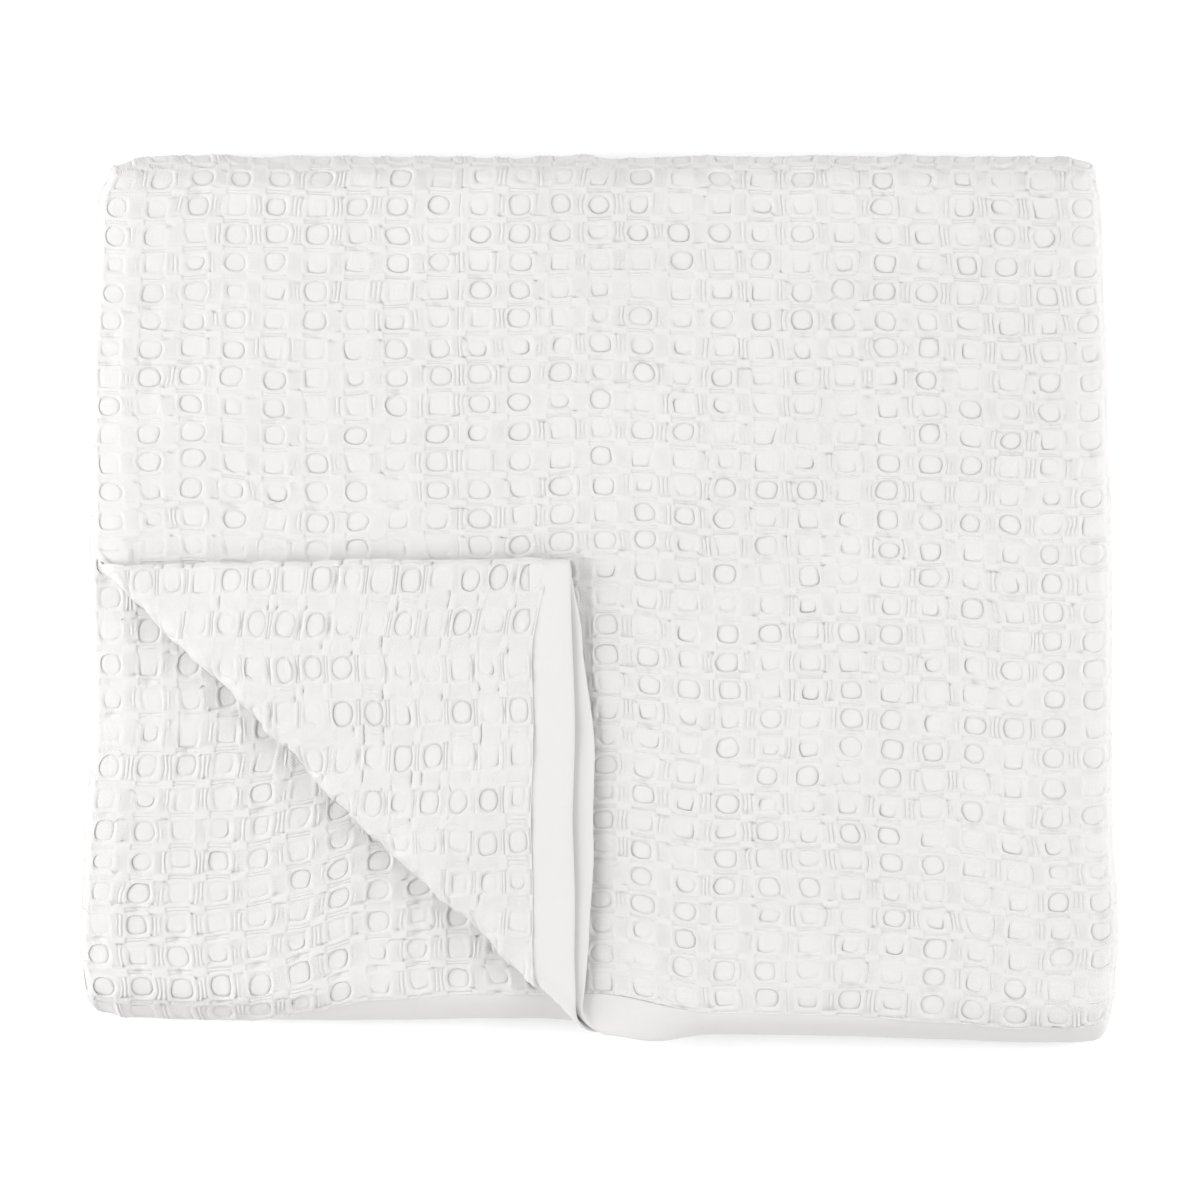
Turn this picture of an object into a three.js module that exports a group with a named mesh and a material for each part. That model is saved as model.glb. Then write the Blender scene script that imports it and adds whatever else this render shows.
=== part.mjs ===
import * as THREE from "three";

// A honeycomb-weave cotton quilt, 2 m by 1.3 m, folded away to about 0.52 by 0.44 m.
// Both sides are folded in to the middle and it is then closed like a book, which makes four layers.
// That strip is folded in three, which makes twelve.
// The near left corner of the top two layers is turned back.
// Sizes are in millimetres. X runs to the right, Y to the far fold, Z up, and the quilt lies on Z = 0.

// The cloth and the plain binding sewn along its edges.
const CLOTH_THICK = 2.2;
const BINDING_THICK = 1.2;
const BINDING_WIDTH = 20;
const SEAM = 0.7; // about 0.3 is left of it inside the crease
const LAYER = 3.2; // from one layer to the next

// The strip of four layers, seen from its end.
const LEFT = -251;
const RIGHT = 251;
const LEFT_TURN = LAYER / 2;
const SPINE_TURN = 1.5 * LAYER;
const SIDE_EDGE_X = RIGHT - 18; // where the quilt's two side edges lie, inside the spine

// The strip folded in three, seen from the side.
const LOWEST = CLOTH_THICK / 2;
const STACK = 3 * LAYER; // from the strip's lowest layer to its highest
const heightOf = (layer) => LOWEST + layer * LAYER; // the pile's layers are numbered 0 to 11
const NEAR_AXIS = heightOf(3.5);
const FAR_AXIS = heightOf(7.5);
const MIDDLE_THIRD_Z = heightOf(7);
const TOP_THIRD_Z = heightOf(8);
const FAR_TURN_Y = 208.6;
const NEAR_TURN_Y = -198;
const FAR_END_Y = 204;

// How far each layer of the top third runs on past the near turn, round which it hangs.
const NEAR_ENDS = [
  { x: -252, top: 23, underTop: 23, overBottom: 37, bottom: 30 },
  { x: -212, top: 28, underTop: 23, overBottom: 37, bottom: 30 },
  { x: -150, top: 33, underTop: 23, overBottom: 33, bottom: 27 },
  { x: -110, top: 33, underTop: 23, overBottom: 28.5, bottom: 23 },
  { x: -60, top: 30, underTop: 23, overBottom: 25, bottom: 20.5 },
  { x: 4, top: 23, underTop: 22, overBottom: 26, bottom: 21 },
  { x: 60, top: 30, underTop: 27, overBottom: 28, bottom: 22 },
  { x: 120, top: 31, underTop: 27, overBottom: 28, bottom: 23 },
  { x: 170, top: 34, underTop: 29.5, overBottom: 28, bottom: 25 },
  { x: 213, top: 39, underTop: 33.5, overBottom: 28, bottom: 28 },
];
const HANG_LEAD = 8; // the steps of the bend start this far before the near turn
// The top two layers lie flat by the corner that is turned back, and hang to the right of it.
const HANG_FROM_X = 4;
const HANG_FULL_X = 60;
const LEAST_BEND = 1e-4; // of a layer that lies flat

// The corner that is turned back: its crease runs from the left edge to the near edge.
const CREASE_LEFT = { x: -250, y: 27 };
const CREASE_NEAR = { x: -7.5, y: -211.5 };
const CREASE_ROOM = 1.2;
const CREASE_RADIUS = 1.5 * LAYER + CREASE_ROOM; // of the outer of its two layers

// The pile is pressed down towards its edges over this width, by this share of its height.
const SHOULDER = 18;
const SHOULDER_DROP = 0.14;

// How many flat steps each bend is made of.
const TIGHT_TURN_STEPS = 5;
const WIDE_TURN_STEPS = 6;
const HANG_STEPS = 4;
const CREASE_STEPS = 6;
// The flat stretches are all divided at the same places, so that the layers stay parallel.
const BINDING_INNER_X = SIDE_EDGE_X - BINDING_WIDTH - SEAM;
const CUTS_X = [
  LEFT + SHOULDER, -150, -110, -60, HANG_FROM_X, 32, HANG_FULL_X, 120, 170, BINDING_INNER_X, SIDE_EDGE_X,
];
const CUTS_Y = [-150, -75, 0, 75, 150, FAR_TURN_Y + STACK - SHOULDER];
const LEAST_STEP = 3;

// The photographed outline is uneven: these rows say how far each edge stands from its straight line.
const LEFT_EDGE = [
  { y: -208, out: 5 },
  { y: -180, out: 8 },
  { y: -120, out: 5.5 },
  { y: -60, out: 1.5 },
  { y: 0, out: 3.5 },
  { y: 100, out: 4 },
  { y: 190, out: 0 },
  { y: 222, out: -3 },
];
const RIGHT_EDGE = [
  { y: -212, out: 3.5 },
  { y: -165, out: 6 },
  { y: -110, out: 3 },
  { y: 0, out: 3 },
  { y: 105, out: 0.5 },
  { y: 165, out: -1.5 },
  { y: 222, out: -4 },
];
const NEAR_EDGE = [
  { x: -252, out: -8 },
  { x: -130, out: -6 },
  { x: -30, out: -6 },
  { x: 40, out: -2 },
  { x: 252, out: -1 },
];
const NEAR_EDGE_REACH = 110;
// Soft swells of the whole pile, as shares of its height.
const SWELLS = [
  { share: 0.035, alongX: 0.011, alongY: 0.006, start: 0.6 },
  { share: 0.03, alongX: -0.007, alongY: 0.0145, start: 2.1 },
  { share: 0.02, alongX: 0.017, alongY: -0.011, start: 4.4 },
];
// The layers don't lie quite square on each other.
const SLIP_X = { size: 1.6, perHeight: 0.21 };
const SLIP_Y = { size: 1.2, perHeight: 0.273 };

const smooth = (from, to, value) => THREE.MathUtils.smoothstep(value, from, to);

// The value in a table's column at a place, eased between its rows.
function readTable(rows, place, at, column) {
  const next = rows.findIndex((row) => row[place] > at);
  if (next === 0) return rows[0][column];
  if (next < 0) return rows[rows.length - 1][column];
  const before = rows[next - 1];
  const after = rows[next];
  return THREE.MathUtils.lerp(before[column], after[column], smooth(before[place], after[place], at));
}

// The stretches of the quilt's width, in order, from one side edge to the other, each with its first x,
// its height in the strip, and its heading. A turn is half a circle that bends back over the last stretch.
const ACROSS = [];
function addAcross(layer, to, turn = 0) {
  const last = ACROSS[ACROSS.length - 1];
  const from = last ? last.to : SIDE_EDGE_X;
  const heading = last ? last.heading * (last.turn ? -1 : 1) : -1;
  const height = last ? last.height - 2 * last.heading * last.turn : 2 * LAYER;
  ACROSS.push({ layer, from, to, turn, heading, height });
}
addAcross("underTop", SIDE_EDGE_X - BINDING_WIDTH);
addAcross("underTop", BINDING_INNER_X);
addAcross("underTop", LEFT + LEFT_TURN);
addAcross("turn", LEFT + LEFT_TURN, LEFT_TURN);
addAcross("top", RIGHT - SPINE_TURN);
addAcross("turn", RIGHT - SPINE_TURN, SPINE_TURN);
addAcross("bottom", LEFT + LEFT_TURN);
addAcross("turn", LEFT + LEFT_TURN, LEFT_TURN);
addAcross("overBottom", BINDING_INNER_X);
addAcross("overBottom", SIDE_EDGE_X - BINDING_WIDTH);
addAcross("overBottom", SIDE_EDGE_X);
const CLOTH_ACROSS = [2, 9]; // the binding and its seam are the first two stretches and the last two

// The stretches of its length, from the far end, which lies lowest, to the near end, which lies on top.
const ALONG = [
  { name: "binding", from: FAR_END_Y, to: FAR_END_Y - BINDING_WIDTH },
  { name: "seam", from: FAR_END_Y - BINDING_WIDTH, to: FAR_END_Y - BINDING_WIDTH - SEAM },
  { name: "lowThird", from: FAR_END_Y - BINDING_WIDTH - SEAM, to: NEAR_TURN_Y },
  { name: "nearTurn", steps: WIDE_TURN_STEPS },
  { name: "middleThird", from: NEAR_TURN_Y, to: FAR_TURN_Y },
  { name: "farTurn", steps: WIDE_TURN_STEPS },
  { name: "topThird", from: FAR_TURN_Y, to: NEAR_TURN_Y + HANG_LEAD },
  { name: "hang", steps: HANG_STEPS },
  { name: "seam", steps: 1 },
  { name: "binding", steps: HANG_STEPS },
];
const CLOTH_ALONG = [2, 8];
const SPINE = ACROSS.findIndex((stretch) => stretch.turn === SPINE_TURN);
const TOP_THIRD = ALONG.findIndex((stretch) => stretch.name === "topThird");
const HANG = ALONG.findIndex((stretch) => stretch.name === "hang");

// A place across the quilt, as stretch number and share, in the strip of four layers:
// x, the height in the strip, the direction of the cloth's upper side, and how far the near end runs on.
function placeAcross(across) {
  const number = Math.min(Math.floor(across), ACROSS.length - 1);
  const share = across - number;
  const { layer, from, to, turn, heading, height } = ACROSS[number];
  if (!turn) {
    const x = THREE.MathUtils.lerp(from, to, share);
    return { x, height, sideX: 0, sideUp: heading, nearEnd: readTable(NEAR_ENDS, "x", x, layer) };
  }
  const before = readTable(NEAR_ENDS, "x", from, ACROSS[number - 1].layer);
  const after = readTable(NEAR_ENDS, "x", from, ACROSS[number + 1].layer);
  const angle = Math.PI * share;
  return {
    x: from + heading * turn * Math.sin(angle),
    height: height - heading * turn * (1 - Math.cos(angle)),
    sideX: heading * Math.sin(angle),
    sideUp: heading * Math.cos(angle),
    nearEnd: THREE.MathUtils.lerp(before, after, share),
  };
}

// A place along the quilt for one height in the strip: y, z, and the direction that was up in the strip.
function placeAlong(along, strip) {
  const number = Math.min(Math.floor(along), ALONG.length - 1);
  const share = along - number;
  const { name, from, to } = ALONG[number];
  const angle = Math.PI * share;
  const top = TOP_THIRD_Z + strip.height;
  if (name === "nearTurn") {
    const radius = NEAR_AXIS - LOWEST - strip.height;
    return {
      y: NEAR_TURN_Y - radius * Math.sin(angle),
      z: NEAR_AXIS - radius * Math.cos(angle),
      upY: Math.sin(angle),
      upZ: Math.cos(angle),
    };
  }
  if (name === "farTurn") {
    const radius = top - FAR_AXIS;
    return {
      y: FAR_TURN_Y + radius * Math.sin(angle),
      z: FAR_AXIS - radius * Math.cos(angle),
      upY: Math.sin(angle),
      upZ: -Math.cos(angle),
    };
  }
  if (number < HANG) {
    const y = THREE.MathUtils.lerp(from, to, share);
    if (name === "middleThird") return { y, z: MIDDLE_THIRD_Z - strip.height, upY: 0, upZ: -1 };
    return { y, z: name === "topThird" ? top : LOWEST + strip.height, upY: 0, upZ: 1 };
  }
  const seamAt = strip.nearEnd - BINDING_WIDTH;
  const ends = [-HANG_LEAD, seamAt - SEAM, seamAt, strip.nearEnd];
  const run = THREE.MathUtils.lerp(ends[number - HANG], ends[number - HANG + 1], share);
  const bend = strip.height > STACK / 2 ? smooth(HANG_FROM_X, HANG_FULL_X, strip.x) : 1;
  const radius = (top - NEAR_AXIS) / Math.max(bend, LEAST_BEND);
  const turned = Math.max(run, 0) / radius;
  return {
    y: NEAR_TURN_Y - Math.min(run, 0) - radius * Math.sin(turned),
    z: top - radius * (1 - Math.cos(turned)),
    upY: -Math.sin(turned),
    upZ: Math.cos(turned),
  };
}

// The crease's line, its direction, and the direction from it to the corner that is turned back.
const creaseRun = new THREE.Vector2(CREASE_NEAR.x - CREASE_LEFT.x, CREASE_NEAR.y - CREASE_LEFT.y);
creaseRun.normalize();
const toCorner = new THREE.Vector2(creaseRun.y, -creaseRun.x);
const CREASE_Z = heightOf(11.5) + CREASE_ROOM;
const pastCrease = (x, y) => (x - CREASE_LEFT.x) * toCorner.x + (y - CREASE_LEFT.y) * toCorner.y;

// Only the top two layers of the top third turn back, with the fold that joins them.
const turnsBack = (across, along) => across < SPINE && along > TOP_THIRD;

// The steps that the crease's bend is made of, and how far round it a place is, as an angle:
// below 0 is before the bend, above half a turn is past it, and a place that is nearly at a step is at it.
const CREASE_ANGLES = Array.from({ length: CREASE_STEPS + 1 }, (_, i) => (Math.PI * i) / CREASE_STEPS);
const ANGLE_SNAP = 0.08;
function creaseAngle(across, along) {
  if (!turnsBack(across, along)) return -1;
  const strip = placeAcross(across);
  const angle = pastCrease(strip.x, placeAlong(along, strip).y) / CREASE_RADIUS;
  return CREASE_ANGLES.find((step) => Math.abs(step - angle) < ANGLE_SNAP) ?? angle;
}

// The uneven outline, the soft swells and the slip of the layers, all as one smooth bend of space.
function settle(point) {
  const { x, y, z } = point;
  const share = THREE.MathUtils.clamp((x - LEFT) / (RIGHT - LEFT), 0, 1);
  const outLeft = readTable(LEFT_EDGE, "y", y, "out");
  const outRight = readTable(RIGHT_EDGE, "y", y, "out");
  const nearness = 1 - smooth(NEAR_TURN_Y, NEAR_TURN_Y + NEAR_EDGE_REACH, y);
  const outNear = readTable(NEAR_EDGE, "x", x, "out") * nearness;
  const swell = SWELLS.reduce(
    (total, wave) => total + wave.share * Math.sin(wave.alongX * x + wave.alongY * y + wave.start),
    0,
  );
  const fromEdge = Math.min(x - LEFT, RIGHT - x, FAR_TURN_Y + STACK - y);
  const pressed = SHOULDER_DROP * (1 - smooth(-SHOULDER / 2, SHOULDER, fromEdge));
  const slipX = SLIP_X.size * Math.sin(SLIP_X.perHeight * z);
  const slipY = SLIP_Y.size * Math.cos(SLIP_Y.perHeight * z);
  point.set(
    x - outLeft * (1 - share) + outRight * share + slipX * (1 - 2 * share),
    y - outNear + slipY,
    z * (1 + swell - pressed),
  );
}

// A point of the folded quilt: across and along are places on it, and side is how far above its middle.
function quiltPoint(across, along, side) {
  const strip = placeAcross(across);
  const at = placeAlong(along, strip);
  const point = new THREE.Vector3(strip.x, at.y, at.z);
  const offset = new THREE.Vector3(strip.sideX, strip.sideUp * at.upY, strip.sideUp * at.upZ);
  offset.multiplyScalar(side);
  const past = turnsBack(across, along) ? pastCrease(point.x, point.y) : -1;
  if (past > 0) {
    const radius = CREASE_Z - point.z;
    const angle = Math.min(past / CREASE_RADIUS, Math.PI);
    const beyond = Math.max(past - Math.PI * CREASE_RADIUS, 0);
    const moved = radius * Math.sin(angle) - beyond - past;
    point.x += moved * toCorner.x;
    point.y += moved * toCorner.y;
    point.z = CREASE_Z - radius * Math.cos(angle);
    offset.applyAxisAngle(new THREE.Vector3(-creaseRun.x, -creaseRun.y, 0), angle);
  }
  point.add(offset);
  settle(point);
  return point;
}

// The shares at which a stretch is divided: bends into even steps, and flat stretches at the cuts.
function sharesOf(stretch, cuts) {
  const steps = stretch.steps ?? (stretch.turn > LEFT_TURN ? WIDE_TURN_STEPS : TIGHT_TURN_STEPS);
  if (stretch.steps || stretch.turn) return Array.from({ length: steps }, (_, i) => i / steps);
  const run = Math.abs(stretch.to - stretch.from);
  const inside = cuts
    .map((cut) => (cut - stretch.from) / (stretch.to - stretch.from))
    .filter((share) => share * run > LEAST_STEP && (1 - share) * run > LEAST_STEP)
    .sort((a, b) => a - b);
  return [0, ...inside];
}

// The places where the quilt is divided, from one stretch number to another.
function divisions(stretches, from, to, cuts) {
  const places = [];
  for (let i = from; i < to; i++) {
    places.push(...sharesOf(stretches[i], cuts).map((share) => i + share));
  }
  places.push(to);
  return places;
}

// The part of a flat polygon on one side of a level of the crease's angle.
function cutAtLevel(corners, level, above) {
  const kept = [];
  corners.forEach((here, i) => {
    const next = corners[(i + 1) % corners.length];
    const inside = above ? here.angle >= level : here.angle <= level;
    if (inside) kept.push(here);
    if ((here.angle - level) * (next.angle - level) < 0) {
      const [low, high] = here.angle < next.angle ? [here, next] : [next, here];
      const share = (level - low.angle) / (high.angle - low.angle);
      kept.push({
        across: THREE.MathUtils.lerp(low.across, high.across, share),
        along: THREE.MathUtils.lerp(low.along, high.along, share),
        angle: level,
      });
    }
  });
  return kept;
}

// A rectangle of the quilt as one closed solid: its two sides, and a rim round them.
function quiltSheet(acrossRange, alongRange, thick) {
  const acrossPlaces = divisions(ACROSS, ...acrossRange, CUTS_X);
  const alongPlaces = divisions(ALONG, ...alongRange, CUTS_Y);
  const index = new Map();
  const corners = [];
  const cornerNumber = (corner) => {
    const key = corner.across.toFixed(7) + "," + corner.along.toFixed(7);
    if (!index.has(key)) {
      index.set(key, corners.length);
      corners.push(corner);
    }
    return index.get(key);
  };
  const corner = (across, along) => ({ across, along, angle: creaseAngle(across, along) });
  const flat = [];
  for (let i = 0; i + 1 < acrossPlaces.length; i++) {
    for (let j = 0; j + 1 < alongPlaces.length; j++) {
      const [a0, a1] = [acrossPlaces[i], acrossPlaces[i + 1]];
      const [b0, b1] = [alongPlaces[j], alongPlaces[j + 1]];
      let rest = [corner(a0, b0), corner(a1, b0), corner(a1, b1), corner(a0, b1)];
      const pieces = [];
      for (const level of CREASE_ANGLES) {
        pieces.push(cutAtLevel(rest, level, false));
        rest = cutAtLevel(rest, level, true);
      }
      pieces.push(rest);
      for (const piece of pieces) {
        const all = piece.map(cornerNumber);
        const numbers = all.filter((number, k) => number !== all[(k + 1) % all.length]);
        for (let k = 1; k + 1 < numbers.length; k++) {
          flat.push([numbers[0], numbers[k], numbers[k + 1]]);
        }
      }
    }
  }
  const positions = [];
  for (const side of [thick / 2, -thick / 2]) {
    for (const { across, along } of corners) {
      positions.push(...quiltPoint(across, along, side).toArray());
    }
  }
  const under = corners.length;
  const faces = [];
  const edges = new Map();
  for (const [a, b, c] of flat) {
    faces.push(a, c, b, under + a, under + b, under + c);
    for (const [from, to] of [[a, b], [b, c], [c, a]]) {
      if (!edges.delete(to + "," + from)) edges.set(from + "," + to, [from, to]);
    }
  }
  for (const [from, to] of edges.values()) {
    faces.push(from, to, under + to, from, under + to, under + from);
  }
  const geometry = new THREE.BufferGeometry();
  geometry.setAttribute("position", new THREE.Float32BufferAttribute(positions, 3));
  geometry.setIndex(faces);
  geometry.computeVertexNormals();
  return geometry;
}

const cotton = (color, roughness) => new THREE.MeshStandardMaterial({ color, roughness, metalness: 0 });
const honeycombCotton = () => cotton(0xedebe9, 0.95);
const plainCotton = () => cotton(0xf0eeec, 0.85);

const quilt = new THREE.Group();

function addPiece(name, geometry, material) {
  const mesh = new THREE.Mesh(geometry, material);
  mesh.name = name;
  quilt.add(mesh);
}

const WIDTH = [0, ACROSS.length];
const FIRST_SIDE = [0, 1];
const SECOND_SIDE = [ACROSS.length - 1, ACROSS.length];
const FAR_END = [0, 1];
const NEAR_END = [ALONG.length - 1, ALONG.length];
addPiece("honeycomb_cloth", quiltSheet(CLOTH_ACROSS, CLOTH_ALONG, CLOTH_THICK), honeycombCotton());
addPiece("binding_near_end", quiltSheet(WIDTH, NEAR_END, BINDING_THICK), plainCotton());
addPiece("binding_far_end", quiltSheet(WIDTH, FAR_END, BINDING_THICK), plainCotton());
addPiece("binding_first_side", quiltSheet(FIRST_SIDE, CLOTH_ALONG, BINDING_THICK), plainCotton());
addPiece("binding_second_side", quiltSheet(SECOND_SIDE, CLOTH_ALONG, BINDING_THICK), plainCotton());

// The origin is the middle of the pile's footprint, on the surface that it lies on.
const reach = new THREE.Box3().setFromObject(quilt);
const middle = reach.getCenter(new THREE.Vector3());
for (const mesh of quilt.children) mesh.geometry.translate(-middle.x, -middle.y, -reach.min.z);

export default quilt;
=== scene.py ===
# %% [markdown]
# A white honeycomb quilt, folded away into a flat pile, with one corner of its upper layers turned back.
# The pile is modelled as it is made: one flat cloth, a rule that folds it, and a weave raised on the cloth
# before it is folded. Every size is in millimetres until a mesh is made, because cloth is easier to
# think about so.

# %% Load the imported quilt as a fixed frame
from math import pi, radians

import bpy
import numpy as np
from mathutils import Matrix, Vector


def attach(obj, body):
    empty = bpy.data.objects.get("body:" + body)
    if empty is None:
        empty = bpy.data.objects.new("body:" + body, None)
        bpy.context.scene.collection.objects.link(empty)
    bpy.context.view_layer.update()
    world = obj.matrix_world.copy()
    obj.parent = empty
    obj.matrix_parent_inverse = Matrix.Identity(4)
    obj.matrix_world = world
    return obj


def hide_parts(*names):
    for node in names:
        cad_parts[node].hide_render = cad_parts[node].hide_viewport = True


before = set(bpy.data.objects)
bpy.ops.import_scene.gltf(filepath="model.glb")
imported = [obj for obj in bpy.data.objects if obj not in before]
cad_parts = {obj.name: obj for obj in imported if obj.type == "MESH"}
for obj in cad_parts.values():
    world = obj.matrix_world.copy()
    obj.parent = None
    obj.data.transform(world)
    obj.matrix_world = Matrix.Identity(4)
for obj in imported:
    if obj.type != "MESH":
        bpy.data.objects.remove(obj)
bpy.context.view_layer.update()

MM = 0.001
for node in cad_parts.values():
    node.select_set(False)

# %% [markdown]
# The picture is taken from straight above, from far away, with soft light. A long lens keeps the pile's sides
# out of sight, as there. The quilt's left and right edges are bright and its near and far edges darker, so
# the light is a soft sky with a wide, low lamp on each side, and the left one is a little stronger. One
# lamp overhead would be simpler, but it would flatten the weave, which shows by its small shadows alone.

# %% Camera
PICTURE_WIDTH = 600  # of the real surface, seen in the whole frame
CAMERA_HEIGHT = 4200
MIDDLE_HEIGHT = 35  # of the pile's outline, where the picture's scale is true
SENSOR = 36

camera_data = bpy.data.cameras.new("camera")
camera_data.sensor_width = SENSOR
camera_data.lens = SENSOR * (CAMERA_HEIGHT - MIDDLE_HEIGHT) / PICTURE_WIDTH
camera_data.clip_end = 50
camera = bpy.data.objects.new("camera", camera_data)
camera.location = (0, 0, CAMERA_HEIGHT * MM)
bpy.context.scene.collection.objects.link(camera)
bpy.context.scene.camera = camera
print("lens", round(camera_data.lens, 1))

# %% Light
SKY_STRENGTH = 0.62
LAMP_SIZE = 1.3


def fill(node, values):
    """Set the uniform values of a shader node's sockets."""
    for name, value in values.items():
        node.inputs[name].default_value = value


world = bpy.data.worlds.new("white_room")
bpy.context.scene.world = world
world.use_nodes = True
fill(world.node_tree.nodes["Background"], {"Color": (1, 1, 1, 1), "Strength": SKY_STRENGTH})

LAMPS = (("left", Vector((-1.5, 0.05, 0.95)), 23.0), ("right", Vector((1.5, 0.05, 0.95)), 17.5))
for side, place, power in LAMPS:
    lamp_data = bpy.data.lights.new(side + "_lamp", "AREA")
    lamp_data.size = LAMP_SIZE
    lamp_data.energy = power
    lamp = bpy.data.objects.new(side + "_lamp", lamp_data)
    lamp.location = place
    lamp.rotation_euler = (-place).to_track_quat("-Z", "Y").to_euler()
    bpy.context.scene.collection.objects.link(lamp)

bpy.context.scene.view_settings.view_transform = "Standard"
print("sky", SKY_STRENGTH, "lamps", [(side, power) for side, place, power in LAMPS])

# %% Floor
FLOOR_SIZE = 8
FLOOR_WHITE = (0.95, 0.95, 0.95, 1)
FLOOR_GLOW = 0.16  # the table is lit from below, as one for cut-out pictures is

bpy.ops.mesh.primitive_plane_add(size=FLOOR_SIZE, location=(0, 0, 0))
floor = bpy.context.object
floor.name = "floor"
floor_paint = bpy.data.materials.new("pale_floor")
floor_paint.use_nodes = True
fill(floor_paint.node_tree.nodes["Principled BSDF"], {
    "Base Color": FLOOR_WHITE, "Roughness": 0.9, "Specular IOR Level": 0.1,
    "Emission Color": (1, 1, 1, 1), "Emission Strength": FLOOR_GLOW,
})
floor.data.materials.append(floor_paint)
print("floor is", FLOOR_SIZE, "m wide")

# %% [markdown]
# The fold is a rule that turns a place on the flat cloth into a point of the pile. Across its width, both
# sides are folded in to the middle and the cloth is closed like a book: four layers. Along its length, that
# strip is folded in three. One rule is used for every piece, so layers and edges fit with no joining work.

# %% Sizes of the cloth and of the pile
CLOTH_THICK = 2.2
BINDING_WIDTH = 20
SEAM = 0.7  # between the cloth and its binding
LAYER = 3.2  # from one layer to the next
LEFT, RIGHT = -251, 251
LEFT_TURN = LAYER / 2  # radius of the fold at the left
SPINE_TURN = 1.5 * LAYER  # radius of the fold at the right, round two layers
SIDE_EDGE_X = 233  # the cloth's two side edges lie here, inside the spine
STACK = 3 * LAYER  # from the lowest to the highest of the four layers across
LOWEST = CLOTH_THICK / 2
FAR_TURN_Y, NEAR_TURN_Y, FAR_END_Y = 208.6, -198, 204
HANG_LEAD = 8  # the top layers begin to hang this far before the near fold
HANG_FROM_X, HANG_FULL_X = 4, 60  # they lie flat left of the first and hang in full right of the second
LEAST_BEND = 1e-4
CREASE_LEFT = np.array([-250, 27])
CREASE_NEAR = np.array([-7.5, -211.5])
CREASE_ROOM = 1.2
CREASE_RADIUS = 1.5 * LAYER + CREASE_ROOM
SHOULDER, SHOULDER_DROP = 18, 0.14  # the pile's edges are pressed lower, over this width and by this share


def height_of(layer):
    """The height of the middle of one of the pile's layers, numbered 0 to 11."""
    return LOWEST + layer * LAYER


NEAR_AXIS, FAR_AXIS, MIDDLE_THIRD_Z, TOP_THIRD_Z = (height_of(n) for n in (3.5, 7.5, 7, 8))
CREASE_Z = height_of(11.5) + CREASE_ROOM
print("layers' middles", [round(height_of(n), 1) for n in range(12)])

# %% Tables of the uneven edges
def table(keys, *rows):
    return [dict(zip(keys.split(), row)) for row in rows]


# How far each layer reaches past the near fold, at some places across.
NEAR_ENDS = table(
    "x top underTop overBottom bottom",
    (-252, 23, 23, 37, 30), (-212, 28, 23, 37, 30), (-150, 33, 23, 33, 27), (-110, 33, 23, 28.5, 23),
    (-60, 30, 23, 25, 20.5), (4, 23, 22, 26, 21), (60, 30, 27, 28, 22), (120, 31, 27, 28, 23),
    (170, 34, 29.5, 28, 25), (213, 39, 33.5, 28, 28),
)
# How far the pile's edges bulge out of a straight rectangle.
LEFT_EDGE = table(
    "y out", (-208, 5), (-180, 8), (-120, 5.5), (-60, 1.5), (0, 3.5), (100, 4), (190, 0), (222, -3),
)
RIGHT_EDGE = table("y out", (-212, 3.5), (-165, 6), (-110, 3), (0, 3), (105, 0.5), (165, -1.5), (222, -4))
NEAR_EDGE = table("x out", (-252, -8), (-130, -6), (-30, -6), (40, -2), (252, -1))
NEAR_EDGE_REACH = 110
# Wide swells of the pile's height, as waves, and how the layers slip on each other.
SWELLS = table(
    "share along_x along_y start",
    (0.035, 0.011, 0.006, 0.6), (0.03, -0.007, 0.0145, 2.1), (0.02, 0.017, -0.011, 4.4),
)
SLIP_X = dict(size=1.6, per_height=0.21)
SLIP_Y = dict(size=1.2, per_height=0.273)
# The pile's corners: x, y, how far round them the cloth is drawn in, and by how much.
CORNERS = [(-251, 220, 22, 3.6), (249, 220, 20, 2.6), (-256, -208, 18, 2.4), (254, -216, 18, 2.0)]
print("rows in the tables", len(NEAR_ENDS), len(LEFT_EDGE), len(RIGHT_EDGE), len(NEAR_EDGE))


# %% Easing between places
def smooth(low, high, at):
    share = np.clip((at - low) / (high - low), 0, 1)
    return share * share * (3 - 2 * share)


def mix(a, b, share):
    return a + (b - a) * share


def read_table(rows, place, at, column):
    """The value in a table's column at each place, eased between its rows."""
    marks = np.array([row[place] for row in rows], float)
    values = np.array([row[column] for row in rows], float)
    after = np.clip(np.searchsorted(marks, at, side="right"), 1, len(marks) - 1)
    return mix(values[after - 1], values[after], smooth(marks[after - 1], marks[after], at))


print("left edge's bulge at y 50:", read_table(LEFT_EDGE, "y", 50, "out"))

# %% Stretches of the width and of the length
LAYER_NAMES = ["underTop", "top", "bottom", "overBottom"]
ACROSS = []


def add_across(layer, to, turn=0.0):
    """One stretch of the width: flat to x, or half a circle that bends back over the last stretch."""
    last = ACROSS[-1] if ACROSS else None
    heading = last["heading"] * (-1 if last["turn"] else 1) if last else -1
    ACROSS.append(dict(
        layer=LAYER_NAMES.index(layer), to=to, turn=turn, heading=heading,
        start=last["to"] if last else SIDE_EDGE_X,
        height=last["height"] - 2 * last["heading"] * last["turn"] if last else 2 * LAYER,
    ))


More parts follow.
